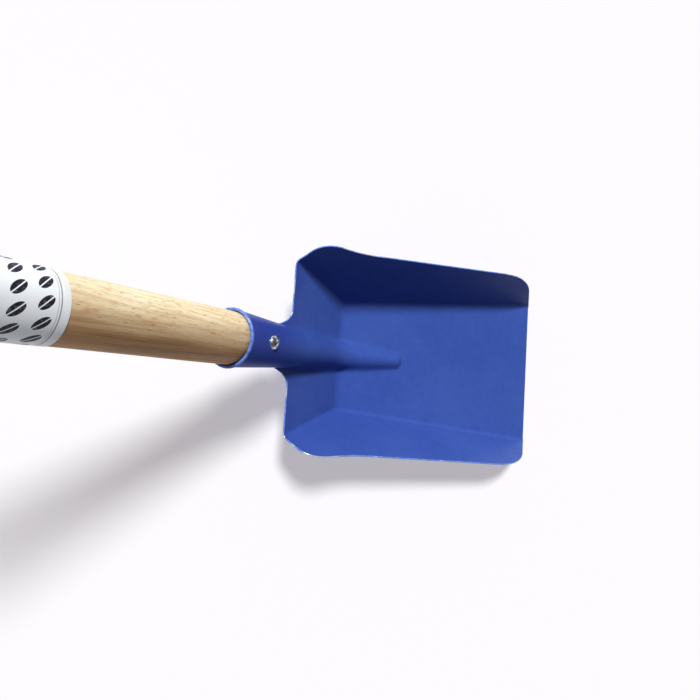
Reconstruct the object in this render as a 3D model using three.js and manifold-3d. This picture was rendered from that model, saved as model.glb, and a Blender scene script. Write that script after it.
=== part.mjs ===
// Hand-held grain scoop shovel: a pressed steel blade with a rolled socket, a beech handle,
// the screw that joins them and the paper band round the handle.
//
// Frame, in millimetres: +Z up, +X towards the front edge of the blade, +Y to the left of
// someone who holds it. The origin is the middle of the flat underside of the blade's floor.

import * as THREE from "three";
import { ConvexGeometry } from "three/addons/geometries/ConvexGeometry.js";
import { mergeVertices } from "three/addons/utils/BufferGeometryUtils.js";
import Module from "manifold-3d";

const wasm = await Module();
wasm.setup();

const rad = THREE.MathUtils.degToRad;

// Blade: a floor with a back wall and two side walls that all lean outwards.
const SHEET = 1; // thickness of the steel
const FLOOR_LENGTH = 158;
const FLOOR_REAR_WIDTH = 71;
const FLOOR_FRONT_WIDTH = 106;
const BACK_WALL_SLOPE = rad(38); // above the floor's own plane, continued backwards
const BACK_WALL_REACH = 53.5; // up the slope, from the rear crease to the top edge
const SIDE_WALL_SLOPE = rad(60); // above the floor's own plane, continued sideways
const EAR_HEIGHT = 44.5; // highest point of a side wall, above the floor
const SIDE_TOP_REAR = 39; // side wall's straight top edge, height above the floor at its rear
const SIDE_TOP_FRONT = 31; // and at its front

// Socket: a cone rolled from the same sheet. Its axis is also the handle's.
const AXIS_SLOPE = rad(40);
const MOUTH_BEHIND = 81; // from the rear crease back to the centre of the mouth
const MOUTH_HEIGHT = 65.5; // above the floor
const MOUTH_RADIUS = 14.1; // outer
const CONE_TAPER = 0.057; // loss of radius for each millimetre along the axis
const TUBE_LENGTH = 40; // the stretch that is closed all round
const LIP_RADIUS = 14.7;
const LIP_HALF_WIDTH = 1.3;
const NECK_REACH = 68; // up the slope, where the webs beside the socket run out
const NECK_HALF_WIDTH = 11.5;
const WEB_HALF_WIDTH = 21; // where the webs leave the back wall's top edge

// Horn: the socket's upper half runs on down the back wall and ends as a rib on the floor.
const RIB_END_RADIUS = 7;
const RIB_LENGTH = 48; // from the rear crease to the tip of the rib
const RIB_SINK = 2.4; // depth of the rib's own axis under the floor, at its tip

// Handle, screw and paper band. Stations are measured from the mouth, outwards.
const CLEARANCE = 0.3; // between pieces that touch
const GRIP_LENGTH = 200; // outside the socket
const TENON_LENGTH = 38; // inside the socket
const SHOULDER_RADIUS = 12.8;
const GRIP_RADIUS = 12.4;
const GRIP_TAPER_LENGTH = 90;
const END_DOME = 7;
const SCREW_STATION = -19;
const SCREW_HEAD_RADIUS = 3.4;
const SCREW_HEAD_HEIGHT = 1.9;
const SCREW_SHANK_RADIUS = 1.6;
const SCREW_LENGTH = 14;
const SLOT_WIDTH = 0.9;
const SLOT_DEPTH = 0.8;
const SLOT_TURN = rad(40);
const BAND_START = 82.5;
const BAND_LENGTH = 45;
const BAND_THICKNESS = 0.25;

const ROUND = 48; // sides of a full circle

const rearX = -FLOOR_LENGTH / 2;
const frontX = FLOOR_LENGTH / 2;
const mouth = new THREE.Vector3(rearX - MOUTH_BEHIND, 0, SHEET + MOUTH_HEIGHT);
const outwards = new THREE.Vector3(-Math.cos(AXIS_SLOPE), 0, Math.sin(AXIS_SLOPE));

// Placement of the socket's own frame: +Y runs out of the mouth along the handle, and +X is
// the side that faces away from the ground.
const socketFrame = new THREE.Matrix4()
  .makeBasis(
    new THREE.Vector3(Math.sin(AXIS_SLOPE), 0, Math.cos(AXIS_SLOPE)),
    outwards,
    new THREE.Vector3(0, -1, 0),
  )
  .setPosition(mouth);

function solidOf(geometry) {
  const bare = geometry.clone();
  bare.deleteAttribute("normal");
  bare.deleteAttribute("uv");
  const merged = mergeVertices(bare, 1e-4);
  return new wasm.Manifold(
    new wasm.Mesh({
      numProp: 3,
      vertProperties: new Float32Array(merged.attributes.position.array),
      triVerts: new Uint32Array(merged.index.array),
    }),
  );
}

function geometryOf(solid) {
  const mesh = solid.getMesh();
  const geometry = new THREE.BufferGeometry();
  geometry.setAttribute("position", new THREE.BufferAttribute(mesh.vertProperties, 3));
  geometry.setIndex(new THREE.BufferAttribute(mesh.triVerts, 1));
  return geometry;
}

// A turned solid on the socket's axis from [radius, station] points that start and end on it.
function turned(points) {
  const profile = points.map(([radius, station]) => new THREE.Vector2(radius, station));
  return new THREE.LatheGeometry(profile, ROUND);
}

function onSocket(geometry) {
  return geometry.clone().applyMatrix4(socketFrame);
}

function coneRadius(depth) {
  return MOUTH_RADIUS - CONE_TAPER * depth;
}

// Planes of the tray's inner faces, moved outwards by the given offset.
function trayPlanes(offset) {
  const rearLeft = new THREE.Vector3(rearX, FLOOR_REAR_WIDTH / 2, SHEET);
  const frontLeft = new THREE.Vector3(frontX, FLOOR_FRONT_WIDTH / 2, SHEET);
  const crease = frontLeft.clone().sub(rearLeft).normalize();
  const away = new THREE.Vector3(-crease.y, crease.x, 0);
  const up = new THREE.Vector3(0, 0, 1);
  const along = away
    .multiplyScalar(Math.cos(SIDE_WALL_SLOPE))
    .addScaledVector(up, Math.sin(SIDE_WALL_SLOPE));
  const sideNormal = crease.clone().cross(along);
  const backNormal = new THREE.Vector3(Math.sin(BACK_WALL_SLOPE), 0, Math.cos(BACK_WALL_SLOPE));
  const through = (normal, point) =>
    new THREE.Plane(normal, -normal.dot(point) + offset);
  return {
    floor: through(up, rearLeft),
    back: through(backNormal, rearLeft),
    side: through(sideNormal.z > 0 ? sideNormal : sideNormal.negate(), rearLeft),
  };
}

function meeting(...planes) {
  const rows = planes.flatMap(({ normal }) => [normal.x, normal.y, normal.z]);
  return new THREE.Vector3(...planes.map(({ constant }) => -constant)).applyMatrix3(
    new THREE.Matrix3().set(...rows).invert(),
  );
}

// The hollow of the tray as a convex block, grown by an offset and open-ended by a margin.
function trayBlock(offset, margin) {
  const { floor, back, side } = trayPlanes(offset);
  const top = new THREE.Plane(new THREE.Vector3(0, 0, 1), -(90 + margin));
  const front = new THREE.Plane(new THREE.Vector3(1, 0, 0), -(frontX + 5 + margin));
  const corners = [
    meeting(floor, back, side),
    meeting(top, back, side),
    meeting(floor, front, side),
    meeting(top, front, side),
  ];
  const mirrored = corners.map((corner) => new THREE.Vector3(corner.x, -corner.y, corner.z));
  return solidOf(new ConvexGeometry([...corners, ...mirrored]));
}

// Side view of the walls, swept across the blade: it cuts the top edges and the front corners.
function wallOutline() {
  const slope = new THREE.Vector2(-Math.cos(BACK_WALL_SLOPE), Math.sin(BACK_WALL_SLOPE));
  const behind = new THREE.Vector2(-Math.sin(BACK_WALL_SLOPE), -Math.cos(BACK_WALL_SLOPE));
  const edge = new THREE.Vector2(rearX, SHEET).addScaledVector(slope, BACK_WALL_REACH);
  const foot = edge.clone().addScaledVector(behind, 12);
  const at = (x, z) => [rearX + x, SHEET + z];
  const shape = new THREE.Shape();
  shape.moveTo(foot.x, foot.y);
  shape.lineTo(rearX, -20);
  shape.lineTo(frontX, -20);
  shape.lineTo(frontX, SHEET);
  shape.lineTo(...at(143.5, 16));
  shape.quadraticCurveTo(...at(130, 29.5), ...at(106, SIDE_TOP_FRONT));
  shape.lineTo(...at(10, SIDE_TOP_REAR));
  shape.quadraticCurveTo(...at(-6, 40.4), ...at(-17, EAR_HEIGHT - 0.9));
  shape.quadraticCurveTo(...at(-32, EAR_HEIGHT + 2.8), ...at(-37.6, 38));
  shape.lineTo(edge.x, edge.y);
  shape.closePath();
  const width = 200;
  return solidOf(
    new THREE.ExtrudeGeometry(shape, { depth: width, bevelEnabled: false, curveSegments: 12 })
      .rotateX(Math.PI / 2)
      .translate(0, width / 2, 0),
  );
}

// The two webs between the back wall's top edge and the socket, in the back wall's plane.
function neckWebs() {
  const shape = new THREE.Shape();
  const root = BACK_WALL_REACH - 8;
  shape.moveTo(root, -WEB_HALF_WIDTH);
  shape.lineTo(BACK_WALL_REACH, -WEB_HALF_WIDTH);
  shape.quadraticCurveTo(BACK_WALL_REACH + 1, 5 - WEB_HALF_WIDTH, NECK_REACH, -NECK_HALF_WIDTH);
  shape.lineTo(NECK_REACH, NECK_HALF_WIDTH);
  shape.quadraticCurveTo(BACK_WALL_REACH + 1, WEB_HALF_WIDTH - 5, BACK_WALL_REACH, WEB_HALF_WIDTH);
  shape.lineTo(root, WEB_HALF_WIDTH);
  shape.closePath();
  const upSlope = new THREE.Vector3(-Math.cos(BACK_WALL_SLOPE), 0, Math.sin(BACK_WALL_SLOPE));
  const across = new THREE.Vector3(0, 1, 0);
  const place = new THREE.Matrix4()
    .makeBasis(upSlope, across, upSlope.clone().cross(across))
    .setPosition(rearX, 0, SHEET);
  const options = { depth: SHEET, bevelEnabled: false, curveSegments: 10 };
  return solidOf(new THREE.ExtrudeGeometry(shape, options).applyMatrix4(place));
}

// Cone, bend and floor rib in one, with its skin moved inwards by the given inset.
function hornBlock(inset) {
  const depth = MOUTH_BEHIND / Math.cos(AXIS_SLOPE);
  const bend = mouth.clone().addScaledVector(outwards, -depth);
  const bendRadius = coneRadius(depth) - inset;
  const tipRadius = RIB_END_RADIUS - inset;
  const tip = new THREE.Vector3(rearX + RIB_LENGTH - RIB_END_RADIUS, 0, SHEET - RIB_SINK);
  const start = inset > 0 ? 5 : 0;
  const cone = turned([
    [0, -depth],
    [bendRadius, -depth],
    [coneRadius(-start) - inset, start],
    [0, start],
  ]);
  const run = tip.clone().sub(bend);
  const rib = new THREE.CylinderGeometry(tipRadius, bendRadius, run.length(), ROUND)
    .applyQuaternion(
      new THREE.Quaternion().setFromUnitVectors(new THREE.Vector3(0, 1, 0), run.clone().normalize()),
    )
    .translate((bend.x + tip.x) / 2, 0, (bend.z + tip.z) / 2);
  const ball = (radius, centre) =>
    new THREE.SphereGeometry(radius, ROUND / 2, ROUND / 4).translate(centre.x, centre.y, centre.z);
  return solidOf(onSocket(cone))
    .add(solidOf(rib))
    .add(solidOf(ball(bendRadius, bend)))
    .add(solidOf(ball(tipRadius, tip)));
}

function socketTube() {
  return turned([
    [0, -TUBE_LENGTH],
    [coneRadius(TUBE_LENGTH), -TUBE_LENGTH],
    [MOUTH_RADIUS, 0],
    [0, 0],
  ]);
}

function socketLip() {
  const points = [[0, -LIP_HALF_WIDTH]];
  const steps = 6;
  const bulge = LIP_RADIUS - MOUTH_RADIUS + SHEET / 2;
  for (let i = 0; i <= steps; i += 1) {
    const turn = -Math.PI / 2 + (Math.PI * i) / steps;
    points.push([LIP_RADIUS - bulge + bulge * Math.cos(turn), LIP_HALF_WIDTH * Math.sin(turn)]);
  }
  points.push([0, LIP_HALF_WIDTH]);
  return turned(points);
}

// A straight round bar through the socket wall, square to the axis, at the screw's station.
function screwBar(radius, length, from) {
  return new THREE.CylinderGeometry(radius, radius, length, ROUND / 2)
    .rotateZ(Math.PI / 2)
    .translate(from + length / 2, SCREW_STATION, 0);
}

function scoopBlade() {
  const tray = trayBlock(SHEET, 0).subtract(trayBlock(0, 10)).intersect(wallOutline());
  const upperHorn = hornBlock(0).intersect(trayBlock(SHEET, 0));
  const hole = screwBar(SCREW_SHANK_RADIUS + CLEARANCE, 10, 8);
  return tray
    .add(neckWebs())
    .add(upperHorn)
    .add(solidOf(onSocket(socketTube())))
    .add(solidOf(onSocket(socketLip())))
    .subtract(hornBlock(SHEET))
    .subtract(solidOf(onSocket(hole)));
}

function gripRadius(station) {
  const share = Math.min(station / GRIP_TAPER_LENGTH, 1);
  return SHOULDER_RADIUS + (GRIP_RADIUS - SHOULDER_RADIUS) * share;
}

function handleSolid() {
  const tenonRadius = SHOULDER_RADIUS - CONE_TAPER * TENON_LENGTH;
  const points = [
    [0, -TENON_LENGTH],
    [tenonRadius - 1.5, -TENON_LENGTH],
    [tenonRadius, 1.5 - TENON_LENGTH],
    [SHOULDER_RADIUS, 0],
    [GRIP_RADIUS, GRIP_TAPER_LENGTH],
  ];
  const steps = 8;
  for (let i = 0; i < steps; i += 1) {
    const turn = (Math.PI / 2) * (i / steps);
    points.push([GRIP_RADIUS * Math.cos(turn), GRIP_LENGTH - END_DOME + END_DOME * Math.sin(turn)]);
  }
  points.push([0, GRIP_LENGTH]);
  const pilotHole = screwBar(SCREW_SHANK_RADIUS + CLEARANCE, 20, -2);
  return solidOf(turned(points)).subtract(solidOf(pilotHole));
}

// Turned screw along +Y, its head's underside at zero, with a straight slot.
function screwSolid() {
  const points = [
    [0, -SCREW_LENGTH],
    [SCREW_SHANK_RADIUS, 3 - SCREW_LENGTH],
    [SCREW_SHANK_RADIUS, 0],
    [SCREW_HEAD_RADIUS, 0],
  ];
  const steps = 6;
  for (let i = 0; i < steps; i += 1) {
    const turn = (Math.PI / 2) * (i / steps);
    points.push([
      SCREW_HEAD_RADIUS * Math.cos(turn),
      0.4 + (SCREW_HEAD_HEIGHT - 0.4) * Math.sin(turn),
    ]);
  }
  points.push([0, SCREW_HEAD_HEIGHT]);
  const slot = new THREE.BoxGeometry(4 * SCREW_HEAD_RADIUS, 2 * SLOT_DEPTH, SLOT_WIDTH)
    .translate(0, SCREW_HEAD_HEIGHT, 0)
    .rotateY(SLOT_TURN);
  const seat = coneRadius(-SCREW_STATION) + CLEARANCE;
  const placed = solidOf(turned(points)).subtract(solidOf(slot));
  return geometryOf(placed)
    .rotateZ(-Math.PI / 2)
    .translate(seat, SCREW_STATION, 0);
}

function paperBand() {
  const end = BAND_START + BAND_LENGTH;
  const inner = (station) => gripRadius(station) + CLEARANCE;
  const points = [
    [inner(BAND_START), BAND_START],
    [inner(BAND_START) + BAND_THICKNESS, BAND_START],
    [inner(end) + BAND_THICKNESS, end],
    [inner(end), end],
    [inner(BAND_START), BAND_START],
  ];
  return turned(points);
}

function mesh(name, geometry, color, roughness, metalness) {
  const material = new THREE.MeshStandardMaterial({ color, roughness, metalness });
  const made = new THREE.Mesh(geometry, material);
  made.name = name;
  return made;
}

const shovel = new THREE.Group();
shovel.add(mesh("scoop_blade", geometryOf(scoopBlade()), 0x1c3f9e, 0.3, 0.1));

const handleGroup = new THREE.Group();
handleGroup.applyMatrix4(socketFrame);
handleGroup.add(mesh("handle", geometryOf(handleSolid()), 0xd9b98a, 0.55, 0));
handleGroup.add(mesh("socket_screw", screwSolid(), 0xb8babd, 0.3, 1));
handleGroup.add(mesh("handle_label", paperBand(), 0xf2f2ef, 0.6, 0));
shovel.add(handleGroup);

export default shovel;
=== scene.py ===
"""Looks for the hand-held grain scoop shovel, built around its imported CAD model.

Shapes are worked out in millimetres in the crease frame: X forwards from the blade's rear
crease, Y to the left, Z up from the floor's upper face. placed() turns that into the row frame.
"""

import math

import bpy
import numpy as np
from mathutils import Matrix, Vector
from mathutils.geometry import delaunay_2d_cdt


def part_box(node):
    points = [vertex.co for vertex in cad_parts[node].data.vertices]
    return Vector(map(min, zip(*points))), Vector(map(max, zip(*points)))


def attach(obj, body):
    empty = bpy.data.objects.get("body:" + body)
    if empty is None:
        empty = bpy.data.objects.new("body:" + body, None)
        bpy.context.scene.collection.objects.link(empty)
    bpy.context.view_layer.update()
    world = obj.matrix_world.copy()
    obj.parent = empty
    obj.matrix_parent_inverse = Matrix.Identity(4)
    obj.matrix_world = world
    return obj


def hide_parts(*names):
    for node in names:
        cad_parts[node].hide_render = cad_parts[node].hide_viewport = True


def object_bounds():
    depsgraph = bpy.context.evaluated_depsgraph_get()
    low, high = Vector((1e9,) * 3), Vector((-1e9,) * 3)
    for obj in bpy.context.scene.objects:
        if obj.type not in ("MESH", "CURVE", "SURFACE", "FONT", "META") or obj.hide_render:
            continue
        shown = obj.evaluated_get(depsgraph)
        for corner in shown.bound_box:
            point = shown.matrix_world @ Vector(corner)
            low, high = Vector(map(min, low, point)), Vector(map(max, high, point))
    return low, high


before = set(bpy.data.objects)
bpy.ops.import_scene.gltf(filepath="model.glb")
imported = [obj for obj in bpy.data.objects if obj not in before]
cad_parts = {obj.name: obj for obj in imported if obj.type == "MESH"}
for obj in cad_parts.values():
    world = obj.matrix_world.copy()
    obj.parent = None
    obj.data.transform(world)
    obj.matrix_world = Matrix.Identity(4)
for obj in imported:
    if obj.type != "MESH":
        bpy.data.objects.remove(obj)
cad_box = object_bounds()

# -------------------------------- driving dimensions, in mm
MM = 0.001
SHEET = 1.0
FLOOR_LENGTH = 158.0
FLOOR_REAR_HALF = 35.5
FLOOR_FRONT_HALF = 53.0
BACK_SLOPE = math.radians(38)
BACK_REACH = 53.5
SIDE_SLOPE = math.radians(60)
AXIS_SLOPE = math.radians(40)
MOUTH = np.array([-81.0, 65.5])
MOUTH_RADIUS = 14.1
CONE_TAPER = 0.057
LIP_GAIN = 0.3
LIP_WIDTH = 2.4
NECK = 66.5
WEB_HALF = 21.0
WEB_RISE = 1.2  # the arc between back wall and neck leaves and meets them this far on
WEB_DRAW = 5.5
NECK_HALF = 12.4
SEAM_GAP = 0.9
SEAM_LEAD = 5.0
RIB_TIP = np.array([41.0, -2.4])
RIB_TIP_RADIUS = 5.7
BEND_RADIUS = 42.0
CREASE_BLEND = 2.2
BLEND_STATIONS = [-48.0, -12.0, 10.0, 40.0, NECK]
BLEND_SIZES = [2.4, 4.0, 5.5, 5.0, 0.8]

front_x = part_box("scoop_blade")[1].x * 1000
REAR_X = front_x - FLOOR_LENGTH

WALL_UP = np.array([-math.cos(BACK_SLOPE), math.sin(BACK_SLOPE)])
WALL_NORMAL = np.array([math.sin(BACK_SLOPE), math.cos(BACK_SLOPE)])
AXIS_OUT = np.array([-math.cos(AXIS_SLOPE), math.sin(AXIS_SLOPE)])
AXIS_NORMAL = np.array([math.sin(AXIS_SLOPE), math.cos(AXIS_SLOPE)])


def placed(points):
    """Points in the crease frame, in mm, as points in the row frame, in metres."""
    return (np.asarray(points, float) + [REAR_X, 0.0, SHEET]) * MM


# -------------------------------- the pressed sheet's surface
def smooth_max(a, b, k):
    h = np.maximum(k - np.abs(a - b), 0.0) / k
    return np.maximum(a, b) + h * h * k * 0.25


def smooth_step(x):
    x = np.clip(x, 0.0, 1.0)
    return x * x * (3.0 - 2.0 * x)


def side_normal():
    run = np.array([FLOOR_LENGTH, FLOOR_FRONT_HALF - FLOOR_REAR_HALF, 0.0])
    run /= np.linalg.norm(run)
    away = np.array([-run[1], run[0], 0.0])
    along = away * math.cos(SIDE_SLOPE) + np.array([0.0, 0.0, math.sin(SIDE_SLOPE)])
    return np.cross(run, along)


SIDE_NORMAL = side_normal()


def depth_in_tray(x, y, z):
    """How deep a point lies under the tray's inner faces, with rounded creases."""
    floor = -z
    back = -(x * WALL_NORMAL[0] + z * WALL_NORMAL[1])
    side = -(x * SIDE_NORMAL[0] + (np.abs(y) - FLOOR_REAR_HALF) * SIDE_NORMAL[1] + z * SIDE_NORMAL[2])
    return smooth_max(smooth_max(floor, back, CREASE_BLEND), side, CREASE_BLEND)


def horn_path():
    """The horn's centre line in the XZ plane: the socket's axis, a bend, and the rib."""
    reach = -MOUTH[0] / math.cos(AXIS_SLOPE)
    corner = MOUTH - AXIS_OUT * reach
    run = RIB_TIP - corner
    run /= np.linalg.norm(run)
    turn = AXIS_SLOPE + math.atan2(run[1], run[0])
    cut = BEND_RADIUS * math.tan(turn / 2)
    start = corner + AXIS_OUT * cut
    end = corner + run * cut
    centre = start + AXIS_NORMAL * BEND_RADIUS
    return {
        "straight": reach - cut,
        "centre": centre,
        "turn": turn,
        "end": end,
        "run": run,
        "rib": np.linalg.norm(RIB_TIP - end),
    }


PATH = horn_path()


def along_path(x, z):
    """Distance of an XZ point from the horn's centre line, and its station from the mouth."""
    p = np.stack([x, z], -1)
    t1 = np.minimum(-(p - MOUTH) @ AXIS_OUT, PATH["straight"])
    foot = MOUTH - AXIS_OUT * t1[..., None]
    d1 = np.linalg.norm(p - foot, axis=-1)
    from_centre = p - PATH["centre"]
    spoke = -AXIS_NORMAL
    forward = -AXIS_OUT
    angle = np.arctan2(from_centre @ forward, from_centre @ spoke)
    angle = np.clip(angle, 0.0, PATH["turn"])
    arc = PATH["centre"] + BEND_RADIUS * (
        np.cos(angle)[..., None] * spoke + np.sin(angle)[..., None] * forward
    )
    d2 = np.linalg.norm(p - arc, axis=-1)
    t2 = PATH["straight"] + BEND_RADIUS * angle
    u = np.clip((p - PATH["end"]) @ PATH["run"], 0.0, PATH["rib"])
    d3 = np.linalg.norm(p - (PATH["end"] + u[..., None] * PATH["run"]), axis=-1)
    t3 = PATH["straight"] + BEND_RADIUS * PATH["turn"] + u
    d = np.where(d1 <= np.minimum(d2, d3), d1, np.where(d2 <= d3, d2, d3))
    t = np.where(d1 <= np.minimum(d2, d3), t1, np.where(d2 <= d3, t2, t3))
    return d, t


def horn_radius(t):
    bend_start = PATH["straight"]
    bend_end = bend_start + BEND_RADIUS * PATH["turn"]
    straight = MOUTH_RADIUS - CONE_TAPER * t
    lip = LIP_GAIN * smooth_step((LIP_WIDTH - t) / LIP_WIDTH)
    low = MOUTH_RADIUS - CONE_TAPER * bend_start
    stations = [bend_start, bend_end, bend_end + PATH["rib"]]
    late = np.interp(t, stations, [low, 7.9, RIB_TIP_RADIUS])
    return np.where(t < bend_start, straight + lip, late)


def depth_in_horn(x, y, z):
    d, t = along_path(x, z)
    return horn_radius(t) - np.sqrt(d * d + y * y)


def depth(x, y, z, g):
    """How deep a point lies in the metal's side. g is its station, which says what is there."""
    horn = depth_in_horn(x, y, z)
    k = np.interp(g, BLEND_STATIONS, BLEND_SIZES)
    return np.where(g > NECK, horn, smooth_max(depth_in_tray(x, y, z), horn, k))


def gradient(x, y, z, g, step=0.01):
    gx = depth(x + step, y, z, g) - depth(x - step, y, z, g)
    gy = depth(x, y + step, z, g) - depth(x, y - step, z, g)
    gz = depth(x, y, z + step, g) - depth(x, y, z - step, g)
    return np.stack([gx, gy, gz], -1) / (2 * step)


# -------------------------------- sections through the sheet
# A station g is minus the distance ahead of the rear crease on the floor, and the distance up
# the back wall's slope behind it. Each station has a plane that holds the Y direction.
FAN_FRONT = -20.0
FAN_REAR = 25.0
MOUTH_STATION = MOUTH @ WALL_UP + (MOUTH @ WALL_NORMAL) * math.tan(AXIS_SLOPE - BACK_SLOPE)


def fan_pivot():
    reach = (-FAN_FRONT - FAN_REAR * WALL_UP[0]) / WALL_NORMAL[0]
    return FAN_REAR * WALL_UP + reach * WALL_NORMAL


PIVOT = fan_pivot()


def station_frame(g):
    """The foot of each station's plane in XZ, and the direction of its height."""
    g = np.asarray(g, float)
    foot = np.where(g[..., None] < 0, np.stack([-g, 0 * g], -1), g[..., None] * WALL_UP)
    fan = PIVOT - foot
    fan /= np.linalg.norm(fan, axis=-1, keepdims=True)
    lean = BACK_SLOPE + (AXIS_SLOPE - BACK_SLOPE) * smooth_step((g - BACK_REACH) / 10.0)
    wall = np.stack([np.sin(lean), np.cos(lean)], -1)
    flat = np.zeros_like(wall) + [0.0, 1.0]
    up = np.where(g[..., None] < FAN_FRONT, flat, np.where(g[..., None] > FAN_REAR, wall, fan))
    return foot, up


STEP = 0.25
REACH = 118.0


def trace_sections(stations):
    """Half sections of the sheet's middle surface, from the centre line outwards."""
    foot, up = station_frame(stations)
    middle = SHEET / 2

    def value(y, h):
        return depth(foot[:, 0] + h * up[:, 0], y, foot[:, 1] + h * up[:, 1], stations)

    y = np.zeros(len(stations))
    h = np.full(len(stations), 30.0)
    for _ in range(80):
        h = h - (middle - value(y, h)) * 0.9
    count = int(REACH / STEP)
    ys = np.zeros((len(stations), count + 1))
    hs = np.zeros((len(stations), count + 1))
    hs[:, 0] = h
    eps = 0.01
    heading = np.stack([np.ones_like(y), np.zeros_like(y)], -1)
    for i in range(1, count + 1):
        for correct in (False, True):
            gy = (value(y + eps, h) - value(y - eps, h)) / (2 * eps)
            gh = (value(y, h + eps) - value(y, h - eps)) / (2 * eps)
            size = np.maximum(np.hypot(gy, gh), 1e-6)
            if correct:
                off = (value(y, h) - middle) / size**2
                y = y - off * gy
                h = h - off * gh
            else:
                tangent = np.stack([-gh, gy], -1) / size[:, None]
                flip = np.sign(np.sum(tangent * heading, -1))
                heading = tangent * np.where(flip == 0, 1.0, flip)[:, None]
                y = y + STEP * heading[:, 0]
                h = h + STEP * heading[:, 1]
        ys[:, i] = y
        hs[:, i] = h
    return ys, hs


def station_list():
    rows = [
        np.arange(-FLOOR_LENGTH - 1, NECK - 0.5, 1.0),
        [NECK - 0.001, NECK + 0.001],
        np.arange(NECK + 1, MOUTH_STATION, 1.0),
        [MOUTH_STATION],
    ]
    return np.concatenate(rows)


STATIONS = station_list()
SECTION_Y, SECTION_H = trace_sections(STATIONS)
LENGTHS = np.arange(SECTION_Y.shape[1]) * STEP


def between_stations(g, pick):
    """Interpolates pick(row) between the two stations on each side of g."""
    g = float(np.clip(g, STATIONS[0], STATIONS[-1]))
    i = int(np.clip(np.searchsorted(STATIONS, g) - 1, 0, len(STATIONS) - 2))
    share = (g - STATIONS[i]) / (STATIONS[i + 1] - STATIONS[i])
    return pick(i) * (1 - share) + pick(i + 1) * share


def length_at_height(g, height):
    """Length along the half section at which the side wall has risen to a height."""

    def pick(i):
        start = int(np.argmin(SECTION_H[i]))
        rising = np.maximum.accumulate(SECTION_H[i][start:]) + 1e-7 * np.arange(
            SECTION_H.shape[1] - start
        )
        return np.interp(height, rising, LENGTHS[start:])

    return between_stations(g, pick)


def length_at_width(g, width):
    """Length along the half section at which it has reached a distance from the centre."""
    return between_stations(g, lambda i: np.interp(width, SECTION_Y[i], LENGTHS))


def station_of(x, z):
    """Station and height of an XZ point, by the plane that holds it."""
    p = np.array([x, z])
    if x >= -FAN_FRONT:
        return -x, z
    up_slope = p @ WALL_UP
    if up_slope >= FAN_REAR:
        return up_slope, p @ WALL_NORMAL
    ray = p - PIVOT
    on_floor = PIVOT[0] - ray[0] * PIVOT[1] / ray[1]
    if on_floor >= 0:
        foot = np.array([on_floor, 0.0])
        g = -on_floor
    else:
        share = -(PIVOT @ WALL_NORMAL) / (ray @ WALL_NORMAL)
        foot = PIVOT + ray * share
        g = foot @ WALL_UP
    return g, float(np.linalg.norm(p - foot))


def quadratic(a, b, c, count):
    t = np.linspace(0, 1, count + 1)[1:, None]
    a, b, c = (np.array(p, float) for p in (a, b, c))
    return (1 - t) ** 2 * a + 2 * t * (1 - t) * b + t * t * c


def side_profile():
    """Top edge of a side wall in side view, from the front corner to the back wall's edge."""
    edge = WALL_UP * BACK_REACH
    parts = [
        np.array([[FLOOR_LENGTH, 0.0]]),
        np.linspace([FLOOR_LENGTH, 0.0], [143.5, 16.0], 24)[1:],
        quadratic((143.5, 16), (130, 29.5), (106, 31), 40),
        np.linspace([106, 31], [10, 39], 80)[1:],
        quadratic((10, 39), (-6, 40.4), (-17, 43.6), 24),
        quadratic((-17, 43.6), (-32, 47.3), (-37.6, 38), 30),
        np.linspace([-37.6, 38], edge, 10)[1:],
    ]
    return np.concatenate(parts)


def half_outline():
    """The flat blank's outline on the left half, as (station, length) points."""
    points = []
    for x, z in side_profile():
        g, h = station_of(x, z)
        points.append((g, length_at_height(g, h)))
    web_start = length_at_width(BACK_REACH, WEB_HALF)
    points += [(BACK_REACH, b) for b in np.linspace(points[-1][1], web_start, 24)[1:]]
    web_bend = (BACK_REACH + WEB_RISE, WEB_HALF - WEB_DRAW)
    curve = quadratic((BACK_REACH, WEB_HALF), web_bend, (NECK - WEB_RISE, NECK_HALF), 16)
    points += [(g, length_at_width(g, y)) for g, y in curve]
    quarter = math.pi / 2 * (MOUTH_RADIUS - SHEET / 2 - CONE_TAPER * (MOUTH_STATION - NECK))
    notch = (NECK + 1.3, quarter + 0.6)
    points += [(NECK - 0.5, quarter - 0.2), (NECK + 0.5, quarter - 0.2), notch]
    seam_start = NECK + SEAM_LEAD
    seam = [(g, seam_length(g)) for g in np.linspace(seam_start + 1.5, MOUTH_STATION, 40)]
    seam_corner = (seam_start, seam[0][1])
    before_corner = (seam_start - 1, seam[0][1] - 2)
    lower = quadratic(notch, (NECK + 1.8, seam[0][1] - 6), before_corner, 18)
    points += [tuple(p) for p in lower]
    points += [tuple(p) for p in quadratic(before_corner, seam_corner, seam[0], 5)]
    points += seam[1:]
    points += [(MOUTH_STATION, b) for b in np.linspace(seam[-1][1], 0, 50)[1:-1]]
    return points


def seam_length(g):
    radius = MOUTH_RADIUS - SHEET / 2 - CONE_TAPER * (MOUTH_STATION - g)
    return math.pi * radius - SEAM_GAP / 2


def blank_outline():
    left = half_outline()
    right = [(g, -b) for g, b in reversed(left)]
    front = [(-FLOOR_LENGTH, b) for b in np.linspace(right[-1][1], left[0][1], 110)[1:-1]]
    loop = np.array(left + [(MOUTH_STATION, 0.0)] + right + front)
    return resampled(loop, 0.8)


def resampled(loop, spacing):
    """Drops points of a closed loop that are closer than a share of the spacing."""
    kept = [loop[0]]
    for p in loop[1:]:
        if np.linalg.norm(p - kept[-1]) > 0.35 * spacing:
            kept.append(p)
    if np.linalg.norm(kept[-1] - kept[0]) < 0.35 * spacing:
        kept.pop()
    return np.array(kept)


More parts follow.
